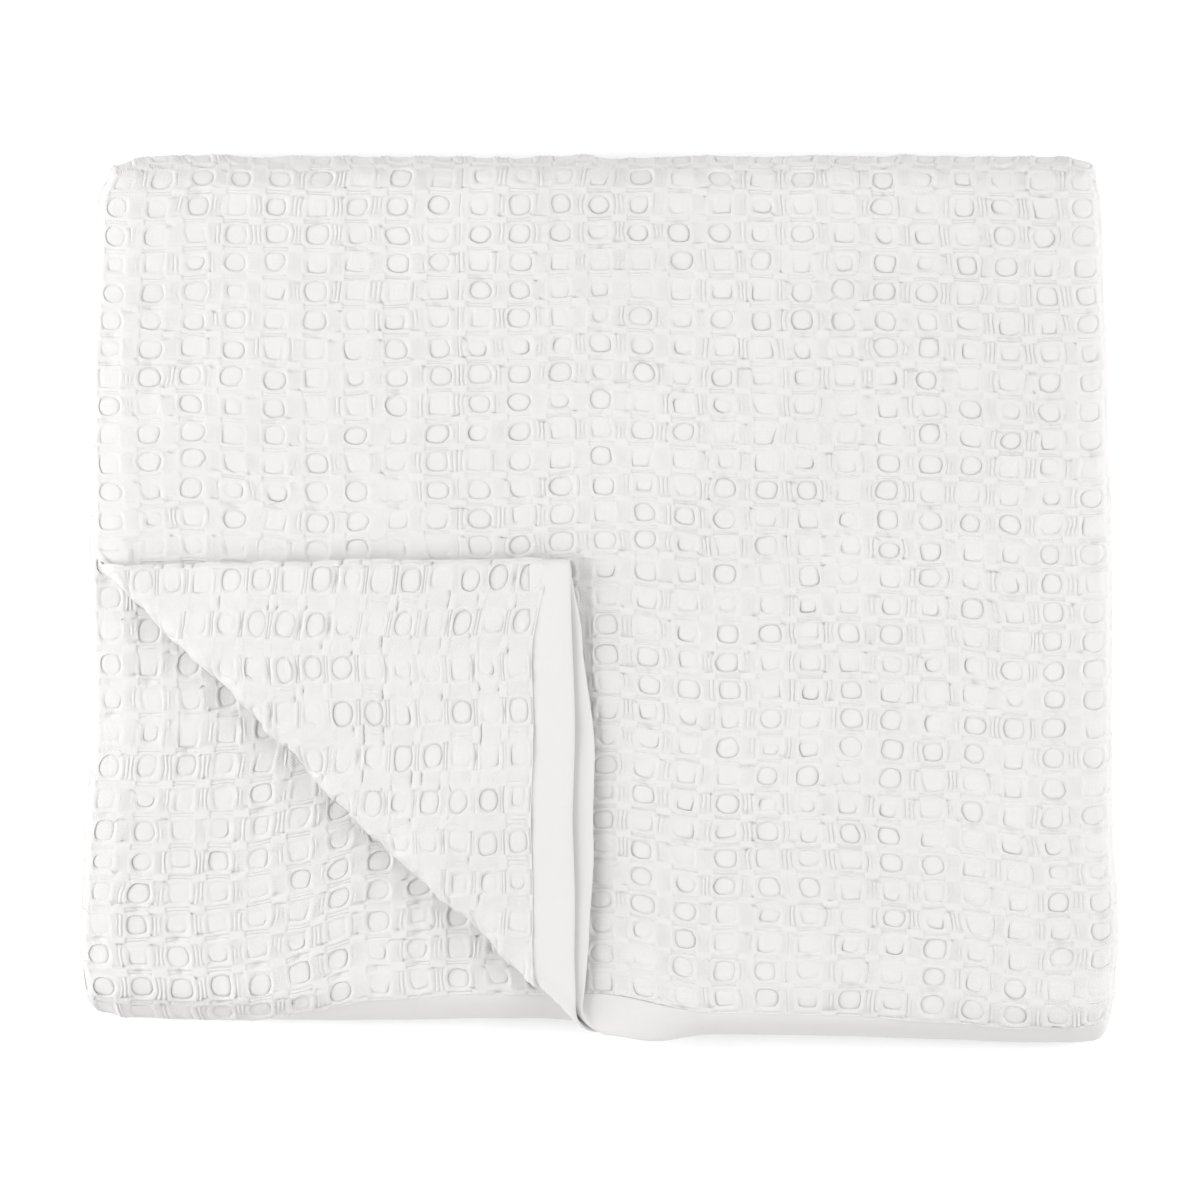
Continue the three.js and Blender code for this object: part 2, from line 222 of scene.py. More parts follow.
BINDING_INNER_X = SIDE_EDGE_X - BINDING_WIDTH
LEFT_X, RIGHT_X = LEFT + LEFT_TURN, RIGHT - SPINE_TURN
for stretch in (
    ("underTop", BINDING_INNER_X), ("underTop", BINDING_INNER_X - SEAM),
    ("underTop", LEFT_X), ("underTop", LEFT_X, LEFT_TURN),
    ("top", RIGHT_X), ("top", RIGHT_X, SPINE_TURN),
    ("bottom", LEFT_X), ("bottom", LEFT_X, LEFT_TURN),
    ("overBottom", BINDING_INNER_X - SEAM), ("overBottom", BINDING_INNER_X), ("overBottom", SIDE_EDGE_X),
):
    add_across(*stretch)
SPINE = 5
across_column = {key: np.array([row[key] for row in ACROSS], float) for key in ACROSS[0]}

# The stretches of the length: the binding, its seam and the low third are 0, 1 and 2.
NEAR_TURN, MIDDLE_THIRD, FAR_TURN, TOP_THIRD, HANG, HEM_SEAM, HEM = range(3, 10)
BINDING_INNER_Y = FAR_END_Y - BINDING_WIDTH
ALONG_START = np.array([FAR_END_Y, BINDING_INNER_Y, BINDING_INNER_Y - SEAM, 0, NEAR_TURN_Y, 0, FAR_TURN_Y])
ALONG_END = np.array([
    BINDING_INNER_Y, BINDING_INNER_Y - SEAM, NEAR_TURN_Y, 0, FAR_TURN_Y, 0, NEAR_TURN_Y + HANG_LEAD,
])
print("stretches across", len(ACROSS), "and along", HEM + 1)

# %% [markdown]
# A cloth simulation could fold the quilt, but the layers would end where it leaves them, not where the photo
# shows them. So each of the next helpers folds by rule, and takes whole arrays of points, which keeps a
# million points quick. The first folds the width, the second the length, the third turns the corner back
# over its crease, and the last one presses and shifts the pile, as its own weight and careless hands do.


# %% Fold the width
def place_across(across):
    """x, height in the strip, direction of the upper side, and the near end's reach, for each place."""
    number = np.clip(np.floor(across).astype(int), 0, len(ACROSS) - 1)
    share = across - number
    start, to, turn, heading, height = (
        across_column[key][number] for key in ("start", "to", "turn", "heading", "height")
    )
    bends = turn > 0
    angle = pi * share
    x = np.where(bends, start + heading * turn * np.sin(angle), mix(start, to, share))
    ends = np.array([read_table(NEAR_ENDS, "x", x, name) for name in LAYER_NAMES])
    layer = across_column["layer"].astype(int)
    here = np.take_along_axis(ends, layer[number][None], 0)[0]
    beyond = np.take_along_axis(ends, layer[np.minimum(number + 1, len(ACROSS) - 1)][None], 0)[0]
    return dict(
        x=x,
        height=np.where(bends, height - heading * turn * (1 - np.cos(angle)), height),
        side_x=np.where(bends, heading * np.sin(angle), 0),
        side_up=np.where(bends, heading * np.cos(angle), heading),
        near_end=np.where(bends, mix(here, beyond, share), here),
    )


# %% Fold the length
def place_along(along, strip):
    """y, z and the direction that was up in the strip, for each place."""
    number = np.clip(np.floor(along).astype(int), 0, HEM)
    share = along - number
    angle = pi * share
    top = TOP_THIRD_Z + strip["height"]
    flat_number = np.minimum(number, TOP_THIRD)
    y = mix(ALONG_START[flat_number], ALONG_END[flat_number], share)
    z = np.select(
        [number == MIDDLE_THIRD, number == TOP_THIRD],
        [MIDDLE_THIRD_Z - strip["height"], top],
        LOWEST + strip["height"],
    )
    up_y, up_z = np.zeros_like(y), np.where(number == MIDDLE_THIRD, -1.0, 1.0)

    near_radius = NEAR_AXIS - LOWEST - strip["height"]
    far_radius = top - FAR_AXIS
    for turns, radius, edge, axis, way in (
        (number == NEAR_TURN, near_radius, NEAR_TURN_Y, NEAR_AXIS, -1),
        (number == FAR_TURN, far_radius, FAR_TURN_Y, FAR_AXIS, 1),
    ):
        y = np.where(turns, edge + way * radius * np.sin(angle), y)
        z = np.where(turns, axis - radius * np.cos(angle), z)
        up_y = np.where(turns, np.sin(angle), up_y)
        up_z = np.where(turns, -way * np.cos(angle), up_z)

    seam_at = strip["near_end"] - BINDING_WIDTH
    marks = [np.full_like(y, -HANG_LEAD), seam_at - SEAM, seam_at, strip["near_end"]]
    run = np.select([number == HANG, number == HEM_SEAM], [
        mix(marks[0], marks[1], share), mix(marks[1], marks[2], share)], mix(marks[2], marks[3], share))
    bend = np.where(strip["height"] > STACK / 2, smooth(HANG_FROM_X, HANG_FULL_X, strip["x"]), 1)
    radius = (top - NEAR_AXIS) / np.maximum(bend, LEAST_BEND)
    turned = np.maximum(run, 0) / radius
    hangs = number >= HANG
    return dict(
        y=np.where(hangs, NEAR_TURN_Y - np.minimum(run, 0) - radius * np.sin(turned), y),
        z=np.where(hangs, top - radius * (1 - np.cos(turned)), z),
        up_y=np.where(hangs, -np.sin(turned), up_y),
        up_z=np.where(hangs, np.cos(turned), up_z),
    )


# %% Turn the corner back
crease_run = (CREASE_NEAR - CREASE_LEFT) / np.linalg.norm(CREASE_NEAR - CREASE_LEFT)
to_corner = np.array([crease_run[1], -crease_run[0]])


def past_crease(x, y):
    """How far a place lies past the crease, on the side that is turned back."""
    return (x - CREASE_LEFT[0]) * to_corner[0] + (y - CREASE_LEFT[1]) * to_corner[1]


def turn_back(across, along, point, offset):
    """Points and offsets of the top two layers, turned back where they lie past the crease."""
    past = np.where((across < SPINE) & (along > TOP_THIRD), past_crease(point[0], point[1]), -1)
    radius = CREASE_Z - point[2]
    angle = np.clip(past / CREASE_RADIUS, 0, pi)
    beyond = np.maximum(past - pi * CREASE_RADIUS, 0)
    moved = np.where(past > 0, radius * np.sin(angle) - beyond - past, 0)
    lifted = np.where(past > 0, CREASE_Z - radius * np.cos(angle), point[2])
    turned = np.array([point[0] + moved * to_corner[0], point[1] + moved * to_corner[1], lifted])
    axis = np.array([-crease_run[0], -crease_run[1], 0])[:, None]
    along_axis = (offset * axis).sum(0) * axis * (1 - np.cos(angle))
    swung = offset * np.cos(angle) + np.cross(axis.T, offset.T).T * np.sin(angle) + along_axis
    return turned, swung


# %% Press and shift the pile
def settle(point):
    """Bulge the edges, press the pile's shoulders down and let its layers slip a little."""
    x, y, z = point
    share = np.clip((x - LEFT) / (RIGHT - LEFT), 0, 1)
    out_left = read_table(LEFT_EDGE, "y", y, "out")
    out_right = read_table(RIGHT_EDGE, "y", y, "out")
    nearness = 1 - smooth(NEAR_TURN_Y, NEAR_TURN_Y + NEAR_EDGE_REACH, y)
    out_near = read_table(NEAR_EDGE, "x", x, "out") * nearness
    swell = sum(w["share"] * np.sin(w["along_x"] * x + w["along_y"] * y + w["start"]) for w in SWELLS)
    from_edge = np.minimum(np.minimum(x - LEFT, RIGHT - x), FAR_TURN_Y + STACK - y)
    pressed = SHOULDER_DROP * (1 - smooth(-SHOULDER / 2, SHOULDER, from_edge))
    slip_x = SLIP_X["size"] * np.sin(SLIP_X["per_height"] * z)
    slip_y = SLIP_Y["size"] * np.cos(SLIP_Y["per_height"] * z)
    return np.array([
        x - out_left * (1 - share) + out_right * share + slip_x * (1 - 2 * share),
        y - out_near + slip_y,
        z * (1 + swell - pressed),
    ])


def round_corners(point):
    """Draw in the pile's four corners, which soft cloth never fills."""
    x, y, z = point
    for corner_x, corner_y, reach, pull in CORNERS:
        way_x, way_y = np.sign(corner_x), np.sign(corner_y)
        near = smooth(reach, 0, np.abs(corner_x - x)) * smooth(reach, 0, np.abs(corner_y - y))
        x, y = x - way_x * pull * near, y - way_y * pull * near
    return np.array([x, y, z])


ORIGIN_SHIFT = np.array([0.8155, 0.4189, 0])[:, None]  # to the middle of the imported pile's footprint


def quilt_points(across, along, side):
    """Points of the folded quilt: side is how far each stands above the middle of the cloth."""
    strip = place_across(across)
    at = place_along(along, strip)
    point = np.array([strip["x"], at["y"], at["z"]])
    offset = np.array([strip["side_x"], strip["side_up"] * at["up_y"], strip["side_up"] * at["up_z"]])
    point, offset = turn_back(across, along, point, offset)
    point = round_corners(settle(point + offset * side)) + ORIGIN_SHIFT
    point[2] = np.maximum(point[2], 0)
    return point


# %% Shorthands for grids of places
def flat_place(across, along):
    """x and y of places on the folded strip, before its corner is turned back."""
    strip = place_across(across)
    return strip["x"], place_along(along, strip)["y"]


def grid_points(across, along, side):
    """quilt_points for a grid of places."""
    side = np.broadcast_to(side, across.shape)
    points = quilt_points(across.ravel(), along.ravel(), side.ravel())
    return points.reshape(3, *across.shape)


def in_fold(across):
    """Whether places across lie in the fold at the left or at the right."""
    return across_column["turn"][np.clip(across.astype(int), 0, len(ACROSS) - 1)] > 0


corner = quilt_points(np.array([4.0]), np.array([6.0]), np.array([LOWEST]))
print("far left corner of the top layer", corner.T.round(1))

# %% [markdown]
# Honeycomb weave is a lattice of small sunk discs. Between discs that lie side by side, a few loose yarns
# float lengthwise. Between discs that lie above each other a few float crosswise, and where these bands
# meet, a small plain patch is left. A bump map would be lighter, but the discs' grooves and pits throw real
# shadows, so one cell is charted as lines and heights, and repeated with an uneven hand.

# %% Chart of one woven cell
# Half of a cell, from its middle (0) to its border (1). The first lines are rings round the disc, and
# the others are loose yarns: a crest, a valley, a crest and so on, in millimetres above the plain cloth.
def chart(rings, **lines):
    return dict(rings=rings, **{key: np.array(values) for key, values in lines.items()})


FINE_CELL = chart(
    rings=5,
    x=[0, 0.18, 0.34, 0.46, 0.52, 0.585, 0.68, 0.78, 0.89, 1.0],
    y=[0, 0.20, 0.40, 0.57, 0.64, 0.71, 0.80, 0.90, 1.0],
    disc=[-0.62, -0.62, -0.58, -0.50, -1.25, 0.35],
    float_x=[0, 0, 0, 0, 0, 0.35, 0.62, -0.06, 0.62, -0.10],
    float_y=[0, 0, 0, 0, 0, 0.35, 0.42, -0.22, 0.45],
)
PLAIN_CELL = chart(
    rings=3, x=[0, 0.46, 0.53, 0.62, 0.80, 1.0], y=[0, 0.58, 0.66, 0.78, 1.0], disc=[-0.6, -0.5, -1.2, 0.4],
    float_x=[0, 0, 0, 0.4, 0.1, 0.5], float_y=[0, 0, 0, 0.4, 0.3],
)
LOW_CELL = chart(
    rings=2, x=[0, 0.5, 0.62, 1.0], y=[0, 0.6, 0.74, 1.0], disc=[-0.6, -0.9, 0.4],
    float_x=[0, 0, 0, 0.3], float_y=[0, 0, 0, 0.3],
)
PATCH_HEIGHT = 0.42
DEEPEST = -1.85  # what is left of the cloth under a pit is a thin web
PIT_DEPTH, PIT_WIDTH = 2.3, 0.26
NOTCH_DEPTH, NOTCH_AT, NOTCH_WIDTH, NOTCH_REACH = 1.6, 0.68, 0.08, 0.17
RIM_FADE = 0.85  # how far the rim sinks away on the side where a cell has no groove
GATHER, SPREAD = 0.90, 1.2  # how the loose yarns draw together beside a disc, and part at its corners


def cell_lines(marks, first, last):
    """The grid lines of some cells: each line's cell, its number from the cell's middle, and its place."""
    half = len(marks) - 1
    count = (last - first) * 2 * half + 1
    number = np.arange(count)
    cell, line = first + number // (2 * half), number % (2 * half) - half
    at = cell + 0.5 + np.sign(line) * marks[np.abs(line)] / 2
    return cell, line, at


print("lines in a fine cell", 2 * len(FINE_CELL["x"]) - 2, "by", 2 * len(FINE_CELL["y"]) - 2)


# %% Uneven hand of the weave
TABLE_SIZE = 160  # cells each way, before the random hand repeats


def cell_noise(p, q, seed, reach=1.0):
    """Soft random waves over the lattice, about as wide as reach cells, from -1 to 1."""
    grid = np.random.default_rng(seed).uniform(-1, 1, (TABLE_SIZE, TABLE_SIZE))
    p, q = p / reach + 8, q / reach + 8
    i, j = np.floor(p).astype(int), np.floor(q).astype(int)
    u, v = smooth(0, 1, p - i), smooth(0, 1, q - j)
    i0, i1, j0, j1 = i % TABLE_SIZE, (i + 1) % TABLE_SIZE, j % TABLE_SIZE, (j + 1) % TABLE_SIZE
    return mix(mix(grid[i0, j0], grid[i1, j0], u), mix(grid[i0, j1], grid[i1, j1], u), v)


# Three ways that a cell comes out: a round disc with a groove all round it, a square one that has only one
# dark side, and one that is pinched small over a pit. Each value is a lowest and a highest.
CELL_KINDS = [
    dict(share=0.42, square=(0.05, 0.35), groove=(0.75, 1.2), bias=(0.2, 0.7), side=0.9,
         scale_x=(0.96, 1.08), scale_y=(0.95, 1.06), depth=(0.6, 1.2), tilt=(-0.1, 0.15), pit=(0, 0.5)),
    dict(share=0.36, square=(0.25, 0.8), groove=(0.5, 1.4), bias=(0.9, 1.0), side=0.5,
         scale_x=(0.80, 0.95), scale_y=(0.85, 1.05), depth=(0.1, 0.6), tilt=(0.0, 0.35), pit=(0.1, 1.1)),
    dict(share=0.22, square=(0.1, 0.6), groove=(1.2, 2.0), bias=(0.85, 1.0), side=0.7,
         scale_x=(0.68, 0.9), scale_y=(0.6, 0.9), depth=(0.2, 1.0), tilt=(0.1, 0.7), pit=(0.2, 1.3)),
]
KIND_KEYS = ("square", "groove", "bias", "scale_x", "scale_y", "depth", "tilt", "pit")


def cell_hand(i, j, seed, down):
    """The random hand of each cell. down is the direction in the cell that is nearest to the viewer."""
    rng = np.random.default_rng(seed)
    shape = (TABLE_SIZE, TABLE_SIZE)
    kind = np.digitize(rng.uniform(0, 1, shape), np.cumsum([row["share"] for row in CELL_KINDS])[:-1])
    hand = {}
    for key in KIND_KEYS:
        low, high = (np.array([row[key][n] for row in CELL_KINDS])[kind] for n in (0, 1))
        hand[key] = mix(low, high, rng.uniform(0, 1, shape))
    side_spread = np.array([row["side"] for row in CELL_KINDS])[kind]
    hand["side"] = down + pi / 8 + side_spread * rng.normal(0, 1, shape)
    for key, spread in (("turn", 0.2), ("shift_x", 0.035), ("shift_y", 0.07)):
        hand[key] = rng.normal(0, spread, shape)
    hand["lines"] = rng.uniform(0.6, 1.35, shape)
    return {key: value[i % TABLE_SIZE, j % TABLE_SIZE] for key, value in hand.items()}


print("kinds of cell", len(CELL_KINDS))


# %% Place and height of each point of the weave
def gathered(marks, number, other):
    """The distance from the cell's middle of a loose yarn that draws in beside a disc's middle."""
    spread = mix(GATHER, SPREAD, smooth(0.2, 0.9, np.abs(other)))
    return 1 - (1 - marks[np.abs(number)]) * spread


def weave_cloth(cell, lines_p, lines_q, seed, down):
    """Places in the cell and heights of the weave at the crossings of the grid's lines."""
    (ci, li), (cj, lj) = lines_p[:2], lines_q[:2]
    i, j = np.meshgrid(li, lj, indexing="ij")
    cell_i, cell_j = np.meshgrid(ci, cj, indexing="ij")
    hand = cell_hand(cell_i, cell_j, seed, down)
    x, y, rings = cell["x"], cell["y"], cell["rings"]
    flat_a, flat_b = np.sign(i) * x[np.abs(i)], np.sign(j) * y[np.abs(j)]
    ring = np.maximum(np.abs(i), np.abs(j))
    in_disc = ring <= rings
    ring_here = np.minimum(ring, rings)

    # A ring of the square grid is drawn round: its corners come in to the circle.
    square_a = np.where(ring > 0, np.abs(flat_a) / x[np.maximum(ring_here, 1)], 0)
    square_b = np.where(ring > 0, np.abs(flat_b) / y[np.maximum(ring_here, 1)], 0)
    round_a = square_a * np.sqrt(1 - np.clip(square_b, 0, 1) ** 2 / 2)
    round_b = square_b * np.sqrt(1 - np.clip(square_a, 0, 1) ** 2 / 2)
    pull = 1 - hand["square"]
    grown = np.where(ring_here == rings, 0.45, 1.0)
    disc_a = np.sign(i) * mix(square_a, round_a, pull) * x[ring_here] * mix(1, hand["scale_x"], grown)
    disc_b = np.sign(j) * mix(square_b, round_b, pull) * y[ring_here] * mix(1, hand["scale_y"], grown)
    beside, above = np.abs(i) > rings, np.abs(j) > rings
    a = np.where(beside, np.sign(i) * gathered(x, i, flat_b), flat_a)
    b = np.where(above, np.sign(j) * gathered(y, j, flat_a), flat_b)
    a = np.where(in_disc, disc_a + hand["shift_x"] * grown - hand["turn"] * disc_b * grown * 0.4, a)
    b = np.where(in_disc, disc_b + hand["shift_y"] * grown + hand["turn"] * disc_a * grown * 0.4, b)

    # Heights of the disc's rings: it tilts towards its deep side, where the groove round it is deepest too.
    toward = np.cos(np.arctan2(b, a) - hand["side"])
    strength = hand["groove"] * mix(1, ((1 + toward) / 2) ** 2, hand["bias"])
    disc = cell["disc"][ring_here] * hand["depth"]
    disc = disc - hand["tilt"] * (a * np.cos(hand["side"]) + b * np.sin(hand["side"]))
    groove = cell["disc"][rings - 1] - cell["disc"][rings - 2]
    grooved = cell["disc"][rings - 2] * hand["depth"] + groove * strength
    disc = np.where(ring_here == rings - 1, grooved, disc)
    rim = cell["disc"][rings] * mix(1, (1 + toward) / 2, RIM_FADE * hand["bias"])
    disc = np.where(ring_here == rings, rim, disc)

    # The loose yarns are crests and valleys, with a notch at some of their ends.
    ends = np.exp(-((np.abs(b) - NOTCH_AT) / NOTCH_WIDTH) ** 2)
    holes = smooth(0.3, 0.8, cell_noise(cell_i + a / 2, cell_j + b / 2, seed + 2, NOTCH_REACH))
    mean_x, mean_y = cell["float_x"][rings + 1:].mean(), cell["float_y"][rings + 1:].mean()
    side_yarn = mean_x + (cell["float_x"][np.abs(i)] - mean_x) * hand["lines"]
    side_yarn = side_yarn - NOTCH_DEPTH * holes * ends
    cross_yarn = mean_y + (cell["float_y"][np.abs(j)] - mean_y) * hand["lines"]
    border_hand = cell_hand(cell_i, cell_j + (j > 0), seed + 1, down)
    pit = border_hand["pit"] * np.exp(-(a / PIT_WIDTH) ** 2) * smooth(0.7, 1.0, np.abs(b))
    cross_yarn = cross_yarn - PIT_DEPTH * pit * smooth(0.35, 1.0, border_hand["pit"])
    patch = PATCH_HEIGHT - NOTCH_DEPTH * holes * ends
    height = np.select([in_disc, beside & above, beside], [disc, patch, side_yarn], cross_yarn)
    return a, b, height


lines = [cell_lines(FINE_CELL[key], 0, 1) for key in "xy"]
print("deepest point of one cell, mm", weave_cloth(FINE_CELL, *lines, 11, pi / 2)[2].min().round(2))

# %% [markdown]
# A woven sheet is one grid of such cells. Joined copies of one cell would be simpler, but would crack where
# the cloth bends. Where the sheet shows, every line of the grid is kept. Where it is hidden between layers,
# half a cell becomes one face. The underside is coarse, and a rim closes the sheet.


# %% Where the grid's places lie on the folded quilt
OUTER = CLOTH_THICK / 2  # the weave is measured on the cloth's outer face
ACROSS_LENGTH = np.array([
    pi * (row["turn"] + OUTER) if row["turn"] else abs(row["to"] - row["start"]) for row in ACROSS
])
ACROSS_MARKS = np.concatenate([[0], np.cumsum(ACROSS_LENGTH)])
ALONG_LENGTH = np.abs(ALONG_END - ALONG_START)
ALONG_LENGTH[NEAR_TURN] = pi * (NEAR_AXIS - LOWEST + OUTER)
ALONG_LENGTH[FAR_TURN] = pi * (TOP_THIRD_Z + STACK - FAR_AXIS + OUTER)
ALONG_MARKS = np.concatenate([[0], np.cumsum(ALONG_LENGTH)])


def across_of(length):
    return np.interp(length, ACROSS_MARKS, np.arange(len(ACROSS_MARKS)))


def length_across(across):
    return np.interp(across, np.arange(len(ACROSS_MARKS)), ACROSS_MARKS)


def hang_length(across):
    """The length of cloth that hangs past the near turn, up to its seam with the binding."""
    return place_across(across)["near_end"] - BINDING_WIDTH - SEAM / 2 + HANG_LEAD


def along_on_hang(run, near_end):
    """The place along the quilt of a point that hangs a given run past the near turn."""
    seam_at = near_end - BINDING_WIDTH
    return np.select(
        [run < seam_at - SEAM, run < seam_at],
        [HANG + (run + HANG_LEAD) / (seam_at - SEAM + HANG_LEAD), HEM_SEAM + (run - seam_at + SEAM) / SEAM],
        HEM + np.minimum((run - seam_at) / BINDING_WIDTH, 0.999),
    )


def grid_row_length(span, rows):
    """The length of one row of cells, in a span that may end on the hanging end's seam."""
    start, end = (np.interp(min(place, HANG), np.arange(len(ALONG_MARKS)), ALONG_MARKS) for place in span)
    hang = hang_length(np.array([SPINE - 0.5]))[0] if span[1] > HANG else 0
    return (end + hang - start) / rows


# How far the puffed cloth sags over its binding: at the near left corner of the uncovered layer, and on the
# flap beside its fold. Each row has the x where it sags in full and where it no longer does.
OVERHANGS = [
    dict(first=7, last=11, size=13, full_x=-180, none_x=-105),
    dict(first=0, last=5, size=9, full_x=-252, none_x=-200),
]


def overhang(across):
    x = place_across(across)["x"]
    sags = 0 * x
    for row in OVERHANGS:
        here = (across > row["first"]) & (across < row["last"])
        sags = sags + row["size"] * here * (1 - smooth(row["full_x"], row["none_x"], x))
    return sags


def along_of(share, span, across):
    """The place along the quilt at a share of a span, from a cell count that is the same all across."""
    start, end = span
    marks = np.arange(len(ALONG_MARKS))
    start_length = np.interp(start, marks, ALONG_MARKS)
    end_length = np.interp(min(end, HANG), marks, ALONG_MARKS)
    hang = hang_length(across) + overhang(across) if end > HANG else 0
    length = start_length + share * (end_length + hang - start_length)
    on_hang = along_on_hang(length - ALONG_MARKS[HANG] - HANG_LEAD, place_across(across)["near_end"])
    return np.where(length > ALONG_MARKS[HANG], on_hang, np.interp(length, ALONG_MARKS, marks))


# %% Faces of a grid that is fine in some places and coarse in others
def spans(kept):
    """The first and last line of each block between kept lines."""
    return list(zip(kept[:-1], kept[1:]))


def outer_faces(number, blocks_p, blocks_q, fine):
    """Faces of the woven side. A coarse face takes the points of fine ones beside it, so no crack opens."""
    faces, fine_quads = [], []
    is_fine = np.pad(fine, 1)  # block (bi, bj) is at (bi + 1, bj + 1) here, so its neighbours never run out

    for bi, (i0, i1) in enumerate(blocks_p):
        for bj, (j0, j1) in enumerate(blocks_q):
            if fine[bi, bj]:
                i, j = (grid.ravel() for grid in np.meshgrid(range(i0, i1), range(j0, j1), indexing="ij"))
                corners = [number(i, j), number(i + 1, j), number(i + 1, j + 1), number(i, j + 1)]
                fine_quads += np.stack(corners, 1).tolist()
                continue
            near = range(i0, i1) if is_fine[bi + 1, bj] else [i0]
            right = range(j0, j1) if is_fine[bi + 2, bj + 1] else [j0]
            far = range(i1, i0, -1) if is_fine[bi + 1, bj + 2] else [i1]
            left = range(j1, j0, -1) if is_fine[bi, bj + 1] else [j1]
            faces.append([number(i, j0) for i in near] + [number(i1, j) for j in right]
                         + [number(i, j1) for i in far] + [number(i0, j) for j in left])
    return faces + fine_quads


def rim_faces(number, inner, shape, blocks_p, blocks_q, fine):
    """Faces that join the woven side's edge to the inner side's."""
    faces = []
    for bi, (i0, i1) in enumerate(blocks_p):
        for j, bj, turn in ((0, 0, 1), (shape[1] - 1, len(blocks_q) - 1, -1)):
            row = [number(i, j) for i in (range(i0, i1 + 1) if fine[bi, bj] else (i0, i1))]
            face = row[::-1] + [inner + number(i0, j), inner + number(i1, j)]
            faces.append(face[::turn])
    for bj, (j0, j1) in enumerate(blocks_q):
        for i, bi, turn in ((0, 0, 1), (shape[0] - 1, len(blocks_p) - 1, -1)):
            row = [number(i, j) for j in (range(j0, j1 + 1) if fine[bi, bj] else (j0, j1))]
            face = row + [inner + number(i, j1), inner + number(i, j0)]
            faces.append(face[::turn])
    return faces


def sheet_faces(shape, kept_p, kept_q, fine):
    """Faces of a closed sheet, as lists of grid numbers; the inner side's come after the outer's."""
    inner = shape[0] * shape[1]
    blocks_p, blocks_q = spans(kept_p), spans(kept_q)

    def number(i, j):
        return i * shape[1] + j

    faces = outer_faces(number, blocks_p, blocks_q, fine)
    for i0, i1 in blocks_p:
        for j0, j1 in blocks_q:
            faces.append([inner + number(i, j) for i, j in ((i0, j0), (i0, j1), (i1, j1), (i1, j0))])
    return faces + rim_faces(number, inner, shape, blocks_p, blocks_q, fine)


print("faces of a sheet of one block", len(sheet_faces((2, 2), [0, 1], [0, 1], np.ones((1, 1), bool))))


# %% A mesh from points and faces
RIM_ANGLE = radians(72)


def make_piece(name, points, faces, uv, material, seam_normals=None):
    """A mesh object from points in millimetres; points that no face uses are left out."""
    used = np.zeros(points.shape[1], bool)
    for face in faces:
        used[face] = True
    renumber = np.cumsum(used) - 1
    kept_faces = [renumber[face].tolist() for face in faces]
    mesh = bpy.data.meshes.new(name)
    mesh.from_pydata((points[:, used] * MM).T.tolist(), [], kept_faces)
    corners = np.empty(len(mesh.loops), int)
    mesh.loops.foreach_get("vertex_index", corners)
    layer = mesh.uv_layers.new(name="cloth")
    layer.data.foreach_set("uv", (uv[:, used] * MM).T[corners].ravel())
    mesh.polygons.foreach_set("use_smooth", np.ones(len(mesh.polygons), bool))
    mesh.set_sharp_from_angle(angle=RIM_ANGLE)
    if seam_normals is not None and seam_normals.any():
        bend_seam_normals(mesh, corners, seam_normals, used)
    mesh.materials.append(material)
    piece = bpy.data.objects.new(name, mesh)
    bpy.context.scene.collection.objects.link(piece)
    print(name, "points", int(used.sum()), "triangles", sum(len(face) - 2 for face in kept_faces))
    return piece


def bend_seam_normals(mesh, corners, seam_normals, used):
    """Shade the border between two pieces of one cloth as if it ran on, so that no line shows there."""
    outer_count = seam_normals.shape[1]
    given = np.zeros((len(used), 3))
    given[:outer_count] = seam_normals.T
    wanted = given[used][corners]
    flat = np.empty(len(mesh.polygons) * 3)
    mesh.polygons.foreach_get("normal", flat)
    totals = np.empty(len(mesh.polygons), int)
    mesh.polygons.foreach_get("loop_total", totals)
    face_normal = np.repeat(flat.reshape(-1, 3), totals, axis=0)
    facing = (wanted * face_normal).sum(1)
    length = np.linalg.norm(wanted, axis=1)
    keep = (length > 0) & (facing > 0.3 * length)
    wanted[keep] /= length[keep, None]
    wanted[~keep] = 0
    mesh.normals_split_custom_set(wanted.tolist())


print("an edge is drawn sharp over", RIM_ANGLE, "radians")

# %% [markdown]
# The cotton is matt and white, a little warm. Its yarns are far too fine for a mesh, so they are bump, and
# washing shows as soft, wide changes of tone. One shader group works these out from the cloth's own flat
# coordinates, so the yarns follow the folds. Both materials use it with their own yarn width: loose and soft
# for the cloth, fine and crisp for the tape.

# %% Shader group for cotton yarn
def new_math(tree, operation, *values):
    node = tree.nodes.new("ShaderNodeMath")
    node.operation = operation
    for socket, value in zip(node.inputs, values):
        if isinstance(value, (int, float)):
            socket.default_value = value
        else:
            tree.links.new(value, socket)
    return node.outputs[0]


def new_noise(tree, place, scale, detail):
    noise = tree.nodes.new("ShaderNodeTexNoise")
    for name, value in (("Vector", place), ("Scale", scale), ("Detail", detail)):
        if isinstance(value, int):
            noise.inputs[name].default_value = value
        else:
            tree.links.new(value, noise.inputs[name])
    return noise.outputs["Fac"]


